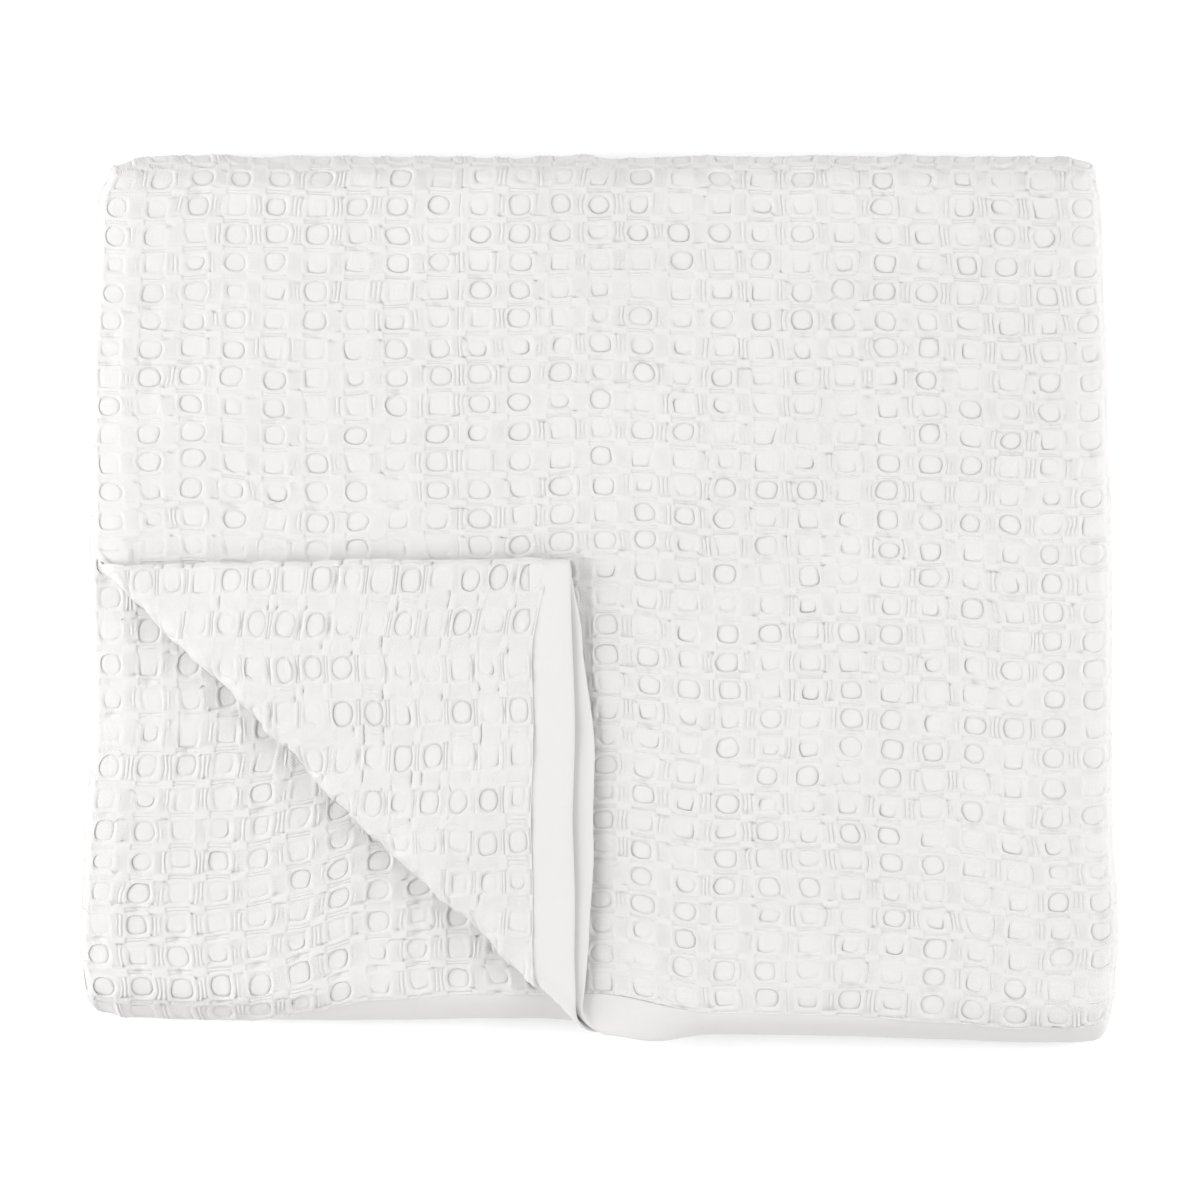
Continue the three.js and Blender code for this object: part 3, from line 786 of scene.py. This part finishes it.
def make_yarn_group():
    """Height of the yarns, their fluff and their thick places, and a wash that changes slowly."""
    group = bpy.data.node_groups.new("cotton_yarn", "ShaderNodeTree")
    for name, kind, value in (
        ("Cloth Place", "NodeSocketVector", None),
        ("Object Place", "NodeSocketVector", None),
        ("Yarn Width", "NodeSocketFloat", 0.0007),
        ("Fluff Scale", "NodeSocketFloat", 900.0),
        ("Fluff", "NodeSocketFloat", 0.5),
        ("Slub", "NodeSocketFloat", 0.5),
    ):
        socket = group.interface.new_socket(name=name, in_out="INPUT", socket_type=kind)
        if value is not None:
            socket.default_value = value
    for name in ("Height", "Wash"):
        group.interface.new_socket(name=name, in_out="OUTPUT", socket_type="NodeSocketFloat")
    nodes, links = group.nodes, group.links
    given = nodes.new("NodeGroupInput")
    result = nodes.new("NodeGroupOutput")

    split = nodes.new("ShaderNodeSeparateXYZ")
    links.new(given.outputs["Cloth Place"], split.inputs[0])
    waves = []
    for axis in ("X", "Y"):
        turns = new_math(group, "DIVIDE", split.outputs[axis], given.outputs["Yarn Width"])
        waves.append(new_math(group, "SINE", new_math(group, "MULTIPLY", turns, pi)))
    plain_weave = new_math(group, "MULTIPLY", *waves)

    fluff = new_noise(group, given.outputs["Object Place"], given.outputs["Fluff Scale"], 3)
    height = new_math(group, "ADD", plain_weave, new_math(group, "MULTIPLY", fluff, given.outputs["Fluff"]))
    for stretch_x, stretch_y in ((480, 110), (100, 440)):
        stretch = nodes.new("ShaderNodeVectorMath")
        stretch.operation = "MULTIPLY"
        stretch.inputs[1].default_value = (stretch_x, stretch_y, 1)
        links.new(given.outputs["Cloth Place"], stretch.inputs[0])
        streak = new_noise(group, stretch.outputs[0], 1, 2)
        height = new_math(group, "ADD", height, new_math(group, "MULTIPLY", streak, given.outputs["Slub"]))
    links.new(height, result.inputs["Height"])
    links.new(new_noise(group, given.outputs["Object Place"], 14, 4), result.inputs["Wash"])
    print("nodes in the yarn group", len(nodes))
    return group


yarn_group = make_yarn_group()


# %% Cotton materials
def cotton(name, light, dark, yarn_width, fluff_scale, fluff, slub, bump, sheen):
    material = bpy.data.materials.new(name)
    material.use_nodes = True
    tree = material.node_tree
    shader = tree.nodes["Principled BSDF"]
    fill(shader, {
        "Roughness": 0.92, "Specular IOR Level": 0.25, "Sheen Weight": sheen, "Sheen Roughness": 0.6,
    })

    place = tree.nodes.new("ShaderNodeTexCoord")
    cloth_map = tree.nodes.new("ShaderNodeUVMap")
    cloth_map.uv_map = "cloth"
    yarn = tree.nodes.new("ShaderNodeGroup")
    yarn.node_tree = yarn_group
    tree.links.new(cloth_map.outputs["UV"], yarn.inputs["Cloth Place"])
    tree.links.new(place.outputs["Object"], yarn.inputs["Object Place"])
    fill(yarn, {"Yarn Width": yarn_width, "Fluff Scale": fluff_scale, "Fluff": fluff, "Slub": slub})

    tone = tree.nodes.new("ShaderNodeValToRGB")
    for stop, at, colour in zip(tone.color_ramp.elements, (0.3, 0.7), (dark, light)):
        stop.position = at
        stop.color = colour
    tree.links.new(yarn.outputs["Wash"], tone.inputs["Fac"])
    tree.links.new(tone.outputs["Color"], shader.inputs["Base Color"])

    relief = tree.nodes.new("ShaderNodeBump")
    fill(relief, {"Strength": bump, "Distance": 0.0004})
    tree.links.new(yarn.outputs["Height"], relief.inputs["Height"])
    tree.links.new(relief.outputs["Normal"], shader.inputs["Normal"])
    return material


honeycomb_cotton = cotton(
    "honeycomb_cotton", light=(0.81, 0.80, 0.795, 1), dark=(0.785, 0.77, 0.765, 1),
    yarn_width=0.0007, fluff_scale=700, fluff=1.6, slub=3.4, bump=0.5, sheen=0.15,
)
binding_cotton = cotton(
    "binding_cotton", light=(0.755, 0.745, 0.74, 1), dark=(0.74, 0.73, 0.725, 1),
    yarn_width=0.0004, fluff_scale=1200, fluff=0.4, slub=0.5, bump=0.25, sheen=0.08,
)
print("materials", honeycomb_cotton.name, binding_cotton.name)

# %% Wander, puffs and blocks of a sheet
# Soft random wandering of the lattice: how far it reaches and how much it moves, both in cells.
LATTICE_WANDER = ((5.0, 0.06), (1.4, 0.045), (0.4, 0.03), (0.12, 0.012))
PUFFS = ((2.6, 0.45), (1.0, 0.34), (0.3, 0.24), (0.12, 0.16))  # reach in cells, and height in millimetres
LATTICE_SEED = 11


def soft_sum(p, q, waves, seed):
    return sum(size * cell_noise(p, q, seed + n, reach) for n, (reach, size) in enumerate(waves))


def wandered(p, q, columns, rows, seed):
    """The lattice after its soft random wander, which dies out at the sheet's edges."""
    inside = smooth(0, 1, p) * smooth(0, 1, columns - p) * smooth(0, 1, q) * smooth(0, 1, rows - q)
    return (p + soft_sum(p, q, LATTICE_WANDER, seed + 10) * inside,
            q + soft_sum(p, q, LATTICE_WANDER, seed + 20) * inside)


def blocks_of(line_number, half, whole_cells, bent):
    """The lines that the coarse side keeps: cell borders and middles, and every line where cloth turns."""
    ends = (half,) if whole_cells else (0, half)
    kept = np.isin(np.abs(line_number), ends) | bent
    kept[[0, -1]] = True
    return np.flatnonzero(kept)


def seen_blocks(across, along, kept_p, kept_q, shows, bends):
    """Whether each block of the grid shows, and whether it has to be fine."""
    middles = [[(low + high) // 2 for low, high in spans(kept)] for kept in (kept_p, kept_q)]
    across, along = across[np.ix_(*middles)], along[np.ix_(*middles)]
    place = (across, along, grid_points(across, along, 0), past_crease(*flat_place(across, along)))
    return shows(*place), shows(*place) | bends(*place)


def raised_points(shape, shown, kept_p, kept_q):
    """The points that have relief: those of the blocks that show."""
    raised = np.zeros(shape, bool)
    for bi, (i0, i1) in enumerate(spans(kept_p)):
        for bj, (j0, j1) in enumerate(spans(kept_q)):
            if shown[bi, bj]:
                raised[i0:i1 + 1, j0:j1 + 1] = True
    return raised


def face_normals_at_points(points):
    """The direction out of the cloth at each point of a grid of points."""
    return -np.cross(np.gradient(points, axis=1), np.gradient(points, axis=2), axis=0)


print("widest wander, in cells", sum(size for reach, size in LATTICE_WANDER))


# %% Weave one sheet
def woven_piece(name, across_span, along_span, columns, rows, cell, shows, bends, down=pi / 2, first=0,
                last=None, seed=LATTICE_SEED, relief=1.0, sunk=0.0, whole_cells=False, extra=None):
    """A closed sheet of honeycomb over part of the quilt. shows and bends say which blocks can be seen,
    and which have to be fine because the cloth bends there."""
    # A spare row of cells beside the piece gives its border the same normals as its neighbour's.
    last = columns if last is None else last
    before, after = min(first, 1), min(columns - last, 1)
    lines_p = cell_lines(cell["x"], first - before, last + after)
    lines_q = cell_lines(cell["y"], 0, rows)
    a, b, height = weave_cloth(cell, lines_p, lines_q, seed, down)
    even_p, even_q = lines_p[0][:, None] + 0.5 + a / 2, lines_q[0][None, :] + 0.5 + b / 2
    height = (height + soft_sum(even_p, even_q, PUFFS, seed + 40)) * relief - sunk
    p, q = wandered(even_p, even_q, columns, rows, seed)

    start, end = (length_across(np.array(place)) for place in across_span)
    pitch = (end - start) / columns
    across = across_of(start + np.clip(p, 0, columns) * pitch)
    along = along_of(np.clip(q, 0, rows) / rows, along_span, across)
    if extra:
        height = height + extra(across, along, even_p, even_q)
    height = np.maximum(height, DEEPEST)

    half_p, half_q = len(cell["x"]) - 1, len(cell["y"]) - 1
    spare = (before * 2 * half_p, after * 2 * half_p)
    own = slice(spare[0], len(p) - spare[1])
    line_across = across_of(start + lines_p[2][own] * pitch)
    line_along = along_of(lines_q[2] / rows, along_span, np.full(len(lines_q[2]), line_across[0]))
    bent_q = np.isin(line_along.astype(int), (NEAR_TURN, FAR_TURN))
    kept_p = blocks_of(lines_p[1][own], half_p, whole_cells, in_fold(line_across))
    kept_q = blocks_of(lines_q[1], half_q, whole_cells, bent_q)
    shown, fine = seen_blocks(across[own], along[own], kept_p, kept_q, shows, bends)

    raised = raised_points(p[own].shape, shown, kept_p, kept_q)
    raised = np.pad(raised, (spare, (0, 0)), mode="edge")
    outer = grid_points(across, along, CLOTH_THICK / 2 + np.where(raised, height, 0))
    inner = grid_points(across[own], along[own], -CLOTH_THICK / 2)
    points = np.concatenate([outer[:, own].reshape(3, -1), inner.reshape(3, -1)], 1)
    seam = np.zeros(p[own].shape, bool)
    seam[0], seam[-1] = before > 0, after > 0
    seam_normals = np.where(seam, face_normals_at_points(outer)[:, own], 0).reshape(3, -1)
    uv = np.array([p[own].ravel() * pitch, q[own].ravel() * grid_row_length(along_span, rows)])
    faces = sheet_faces(p[own].shape, kept_p, kept_q, fine)
    piece = make_piece(name, points, faces, np.concatenate([uv, uv], 1), honeycomb_cotton, seam_normals)
    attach(piece, "root")
    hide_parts("honeycomb_cloth")
    return piece


print("a sheet's seed, unless told otherwise:", LATTICE_SEED)

# %% [markdown]
# The upper face is the quilt's top layer. It shows everywhere but under the corner that is turned back, and
# it goes round the left fold, the right fold and the far fold. One piece would be truest, but too heavy, so
# it is made in three widths of whole cells, shaded across their borders as one.

# %% Weave the upper face
MAIN_COLUMNS, MAIN_ROWS = 25, 32
MAIN_ACROSS, MAIN_ALONG = (3.5, 5.5), (FAR_TURN, HEM_SEAM + 0.5)
FLAP_COVER_X, FLAP_COVER_Y = -24, 10  # the flap hides what lies left of and below these


def main_shows(across, along, at, past):
    turned = (past > -4) & (along > TOP_THIRD)
    return ~turned & ((at[0] > FLAP_COVER_X) | (at[1] > FLAP_COVER_Y))


def main_bends(across, along, at, past):
    return (along > TOP_THIRD) & (past > -8) & (past < pi * CREASE_RADIUS + 8)


FLAP_TOP_Y, FLAP_RIGHT_X = 21.0, -9.0  # where the flap's fold and its binding's edge lie on the upper face
DIP_DEPTH, DIP_WIDTH = 1.5, 6.0
FOLD_PUFF, FOLD_PUFF_REACH = 1.0, 0.8


def fold_puffs(across, along, p, q):
    """The cells that go round the left fold, the right fold and the far fold are uneven."""
    bent = in_fold(across) | (np.floor(along) == FAR_TURN)
    return FOLD_PUFF * bent * cell_noise(p, q, 78, FOLD_PUFF_REACH)


def main_extra(across, along, p, q):
    """The flap's weight presses the upper face down beside its fold and its binding."""
    x, y = flat_place(across, along)
    above_fold = np.exp(-((y - FLAP_TOP_Y) / DIP_WIDTH) ** 2) * (x < FLAP_RIGHT_X)
    beside_tape = np.exp(-((x - FLAP_RIGHT_X) / DIP_WIDTH) ** 2) * (y < FLAP_TOP_Y)
    pressed = DIP_DEPTH * np.maximum(above_fold, beside_tape) * (along > TOP_THIRD)
    return fold_puffs(across, along, p, q) - pressed


main_pieces = [
    woven_piece(name, MAIN_ACROSS, MAIN_ALONG, MAIN_COLUMNS, MAIN_ROWS, FINE_CELL, main_shows, main_bends,
                first=first, last=last, extra=main_extra)
    for name, first, last in (
        ("upper_face_left", 0, 9), ("upper_face_middle", 9, 17), ("upper_face_right", 17, 25),
    )
]

# %% [markdown]
# The flap is the layer below, seen from its other side since the corner is turned back: its rows run
# crosswise now, and its crease is the slanting edge. It could be cut out as a triangle, but as a whole sheet
# it goes on under the upper face, so its edges need no hiding. Its bent cells stand up in puffs.

# %% Weave the flap and the layer that it uncovers
FLAP_COLUMNS, FLAP_ROWS = 21, 31
LOWER_COLUMNS, LOWER_ROWS = 24, 28
CREASE_PUFF, CREASE_PUFF_REACH = 1.7, 0.75
CREASE_TOP = pi * CREASE_RADIUS / 2  # how far past the crease the fold is at its outermost


def flap_shows(across, along, at, past):
    return (along > TOP_THIRD) & (past > -6)


def flap_bends(across, along, at, past):
    return (along > TOP_THIRD) & (past > -14)


def crease_puffs(across, along, p, q):
    """The bent cells at the crease stand up in puffs, with hollows between them."""
    past = past_crease(*flat_place(across, along))
    near = np.exp(-((past - CREASE_TOP) / (0.8 * CREASE_TOP)) ** 2)
    puffs = CREASE_PUFF * near * cell_noise(p, q, 77, CREASE_PUFF_REACH)
    return puffs + fold_puffs(across, along, p, q)


flap = woven_piece("flap", (1.5, 3.5), MAIN_ALONG, FLAP_COLUMNS, FLAP_ROWS,
                   FINE_CELL, flap_shows, flap_bends, down=pi, seed=211, extra=crease_puffs)


def uncovered_shows(across, along, at, past):
    return (along > TOP_THIRD) & (past > -14)


def never(across, along, at, past):
    return np.zeros(across.shape, bool)


uncovered = woven_piece("uncovered_layer", (7.5, 9.5), MAIN_ALONG, LOWER_COLUMNS, LOWER_ROWS,
                        FINE_CELL, uncovered_shows, never, seed=311)

# %% [markdown]
# The other layers show only where they come round the folds at the four sides, and from below. A stack of
# plain slabs could stand for them, but the real ones are the same cloth going back and forth, so they are
# woven and folded by the same rule, with a simpler chart and relief only where it is seen.

# %% Weave the layers inside the pile
EDGE_SHOWS = 12  # how far in from the folds a layer can be seen


def sides_show(across, along, at, past):
    at_left = at[0] < LEFT + EDGE_SHOWS
    at_right = (at[0] > RIGHT - EDGE_SHOWS) & (across > SPINE - 1) & (across < SPINE + 2)
    at_near = (at[1] < NEAR_TURN_Y - 6) & (across > SPINE) & (across < SPINE + 2)
    return at_left | at_right | at_near


def low_shows(across, along, at, past):
    below = (across > SPINE) & (across < SPINE + 2) & (along < NEAR_TURN + 1)
    return sides_show(across, along, at, past) | below


inner_layer = woven_piece("inner_layer", (5.5, 7.5), MAIN_ALONG, 25, 31,
                          PLAIN_CELL, sides_show, never, seed=411, whole_cells=True)
middle_third = woven_piece("middle_third", (1.5, 9.5), (NEAR_TURN + 0.5, FAR_TURN), 96, 29,
                           PLAIN_CELL, sides_show, never, seed=511, relief=0.8, whole_cells=True)
low_third = woven_piece("low_third", (1.5, 9.5), (1.5, NEAR_TURN + 0.5), 96, 28,
                        LOW_CELL, low_shows, never, seed=611, relief=0.5, sunk=0.45, whole_cells=True)

# %% [markdown]
# The binding is a smooth plain tape, 20 mm wide, sewn round the quilt's edge. It is one strip for each edge:
# rounded at its outer side, where the tape is folded, and puckered along its seam, where the thread draws
# it. A curve with a flat profile would give the tape too, but not its seam on the same folds as the cloth.

# %% Sizes of the tape and its stitches
TAPE_STEP = 3.2  # between the cross lines of the tape
TAPE_THICK = 1.7
TAPE_LINES = np.array([0, 0.02, 0.05, 0.1, 0.17, 0.28, 0.42, 0.58, 0.74, 0.86, 0.93, 0.97, 0.99, 1.0])
TAPE_ROUND = 1.6
PUCKER_SIZE, PUCKER_PITCH, PUCKER_REACH = 0.2, 5.2, 6.0
TAPE_WAVE_SIZE, TAPE_WAVE_REACH = 0.3, 16.0
STITCH_LINE_SINK = 0.3  # how deep the thread draws the tape in along its stitches
STITCH_INWARD, STITCH_PITCH, STITCH_LENGTH, STITCH_THICK = 2.2, 2.7, 1.9, 0.5
# One stitch is rings of four points: where each ring is along it, and how thick it is there.
STITCH_RINGS = ((-1.0, 0.25), (-0.55, 0.9), (0.55, 0.9), (1.0, 0.25))
STITCH_SIDES = ((0, 1), (1, 0), (0, -1), (-1, 0))
print("lines along the tape", len(TAPE_LINES))


# %% Places and heights on a tape
def tape_heights(run, inward, seed):
    """Height of the tape's middle, and half its thickness, at a run along it and a way in from its seam."""
    pace = 2 * pi * run / PUCKER_PITCH + 2.2 * cell_noise(run, 0 * run, seed, 9.0)
    pucker = PUCKER_SIZE * np.sin(pace) * np.exp(-inward / PUCKER_REACH)
    wave = TAPE_WAVE_SIZE * cell_noise(run, inward, seed + 1, TAPE_WAVE_REACH)
    sewn = STITCH_LINE_SINK * np.exp(-((inward - STITCH_INWARD) / 0.8) ** 2)
    outward = BINDING_WIDTH - inward
    edge = np.minimum(np.minimum(outward, inward * 2), TAPE_ROUND)
    half = TAPE_THICK / 2 * np.sqrt(np.clip(1 - (1 - edge / TAPE_ROUND) ** 2, 0.03, 1))
    return pucker + wave - sewn, half


def tape_places(run, inward, across_span, along_span, crosswise, seam_first):
    """The places on the quilt of points of a strip, from their runs along it and ways in from its seam."""
    share = np.clip(inward / BINDING_WIDTH, 0, 1)
    share = share if seam_first else 1 - share
    if crosswise:
        across = across_of(length_across(np.array(float(across_span[0]))) + run)
        return across, mix(along_span[0], along_span[1], share)
    across = mix(across_span[0], across_span[1], share)
    return across, along_of(np.clip(run / ALONG_MARKS[HANG], 0, 1), along_span, across)


print("half thickness of the tape's middle", tape_heights(np.zeros(1), np.full(1, 10.0), 71)[1])


# %% Sew the stitches
def sewn_stitches(name, length, place_of, seed):
    """The stitches along a strip, as one mesh: each is a short, four-sided spindle."""
    rng = np.random.default_rng(seed)
    count = int(length / STITCH_PITCH) - 1
    middle = (np.arange(count) + 1) * STITCH_PITCH + rng.normal(0, 0.12, count)
    slant = rng.normal(0, 0.12, count)
    points = []
    for at, thick in STITCH_RINGS:
        for side, up in STITCH_SIDES:
            run = middle + at * STITCH_LENGTH / 2
            inward = STITCH_INWARD + slant * at + side * thick * STITCH_THICK / 2
            middle_height, half_thick = tape_heights(run, inward, seed)
            lift = middle_height + half_thick - 0.05 + up * thick * STITCH_THICK / 2
            across, along = place_of(run, inward)
            points.append(quilt_points(across, along, lift))
    points = np.array(points).transpose(2, 0, 1)
    faces = []
    for ring in (0, 4, 8):
        for side in range(4):
            beside = (side + 1) % 4
            faces.append([ring + side, ring + beside, ring + 4 + beside, ring + 4 + side])
    faces += [[3, 2, 1, 0], [12, 13, 14, 15]]
    all_faces = [[16 * n + v for v in face] for n in range(count) for face in faces]
    flat = np.zeros((2, count * 16))
    flat[0] = np.repeat(middle, 16)
    return make_piece(name, points.reshape(-1, 3).T, all_faces, flat, binding_cotton)


print("points in a stitch", len(STITCH_RINGS) * len(STITCH_SIDES))


# %% Bind the edges
def bound_strip(name, node, across_span, along_span, crosswise, seam_first, seed):
    """One binding strip and its stitches. crosswise says that the strip runs across the quilt."""
    start, end = (length_across(np.array(float(place))) for place in across_span)
    length = end - start if crosswise else ALONG_MARKS[HANG]
    runs = np.linspace(0, 1, int(length / TAPE_STEP) + 1) * length
    inwards = (TAPE_LINES if seam_first else TAPE_LINES[::-1]) * BINDING_WIDTH
    run, inward = np.meshgrid(runs, inwards, indexing="ij") if crosswise else np.meshgrid(runs, inwards)

    def place_of(at_run, at_inward):
        return tape_places(at_run, at_inward, across_span, along_span, crosswise, seam_first)

    across, along = place_of(run, inward)
    middle, half = tape_heights(run, inward, seed)
    sides = [grid_points(across, along, side).reshape(3, -1) for side in (middle + half, middle - half)]
    uv = np.array([run.ravel(), inward.ravel()])
    fine = np.ones((across.shape[0] - 1, across.shape[1] - 1), bool)
    faces = sheet_faces(across.shape, *(np.arange(count) for count in across.shape), fine)
    tape = make_piece(name, np.concatenate(sides, 1), faces, np.concatenate([uv, uv], 1), binding_cotton)
    stitches = sewn_stitches(name.replace("tape", "stitches"), length, place_of, seed)
    for piece in (tape, stitches):
        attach(piece, "root")
        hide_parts(node)
    return tape


HEM_SPAN = (HEM_SEAM + 0.5, HEM + 1 - 1e-6)
SIDE_SPAN = (1.5, HEM_SEAM + 0.5)
near_tape, far_tape, first_tape, second_tape = (bound_strip(*strip) for strip in (
    ("binding_near_end_tape", "binding_near_end", (0, 11), HEM_SPAN, True, True, 71),
    ("binding_far_end_tape", "binding_far_end", (0, 11), (0, 1.5), True, False, 72),
    ("binding_first_side_tape", "binding_first_side", (0, 1.5), SIDE_SPAN, False, False, 73),
    ("binding_second_side_tape", "binding_second_side", (9.5, 11 - 1e-6), SIDE_SPAN, False, True, 74),
))
